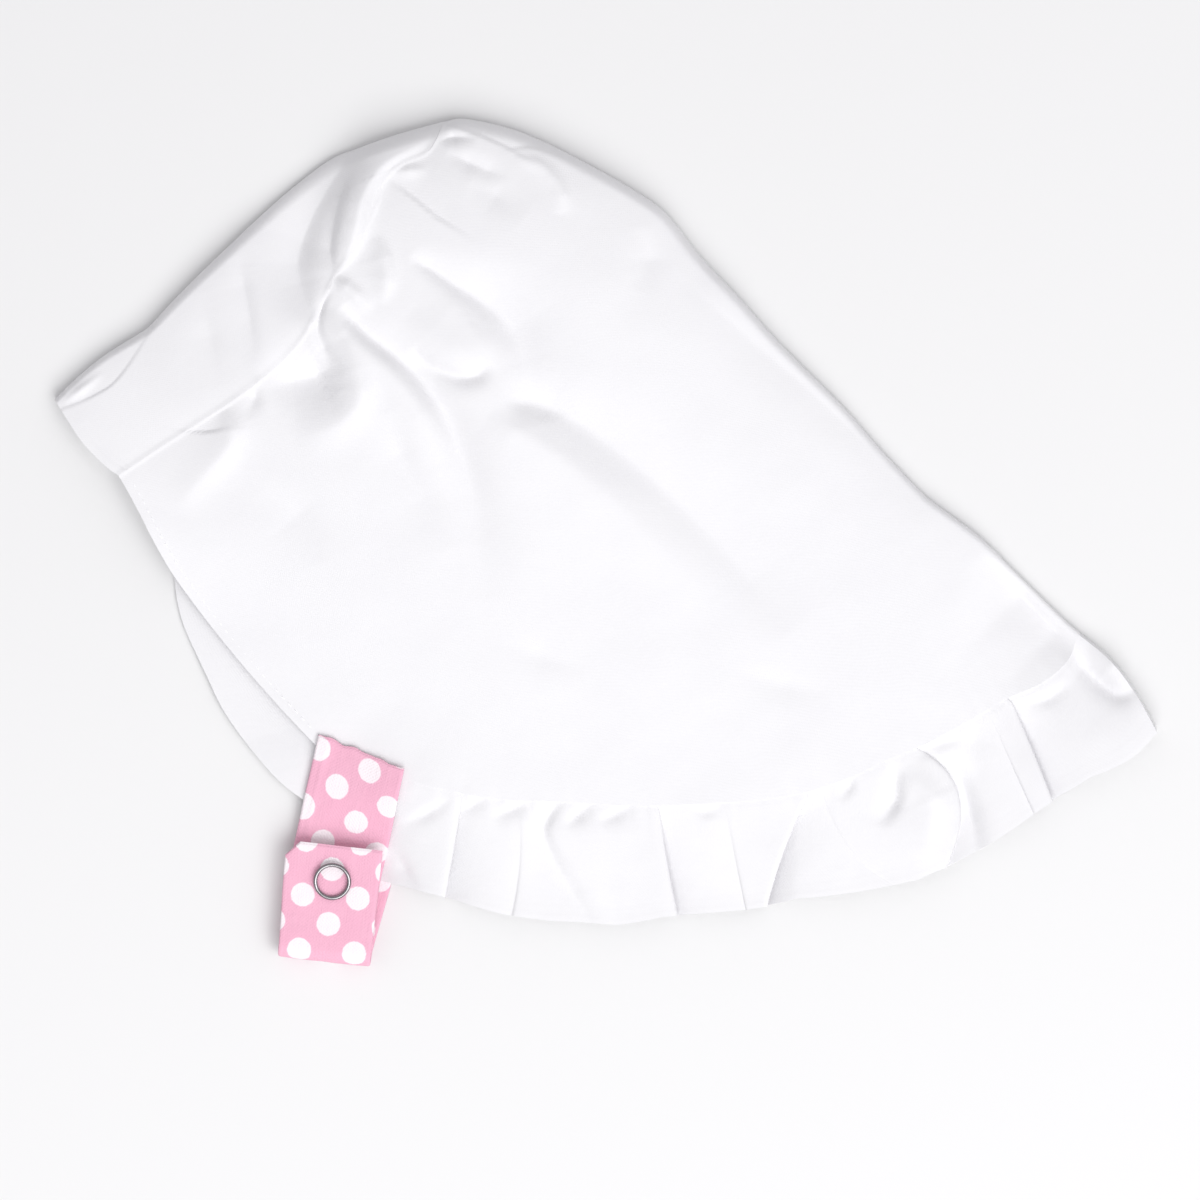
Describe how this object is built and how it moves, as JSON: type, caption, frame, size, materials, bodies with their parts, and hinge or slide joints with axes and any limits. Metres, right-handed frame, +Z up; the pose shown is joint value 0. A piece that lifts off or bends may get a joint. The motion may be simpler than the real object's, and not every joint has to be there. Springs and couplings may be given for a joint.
{
  "type": "baby sun cap with neck ruffle and chin strap",
  "caption": "Soft cotton baby cap lying on its side, with a front panel, wrap-around back, gathered neck ruffle and a dotted chin strap closed by a ring snap.",
  "frame": {"origin": "centre of the underside of the cap's box, on the surface that it lies on", "axes": "+X from the forehead to the nape, +Y from the neck to the crown, +Z up from the surface to the near side"},
  "size_m": [0.2978, 0.2286, 0.026],
  "materials": {
    "white_cotton": "matt plain-weave cotton",
    "pink_cotton": "matt plain-weave cotton with white dots",
    "snap_steel": "smooth bright steel"
  },
  "bodies": {
    "root": {"front_panel": "white_cotton", "back_body": "white_cotton", "neck_ruffle": "white_cotton", "strap_tab": "pink_cotton", "chin_strap": "pink_cotton", "snap_core": "snap_steel", "snap_ring": "snap_steel"}
  },
  "joints": []
}
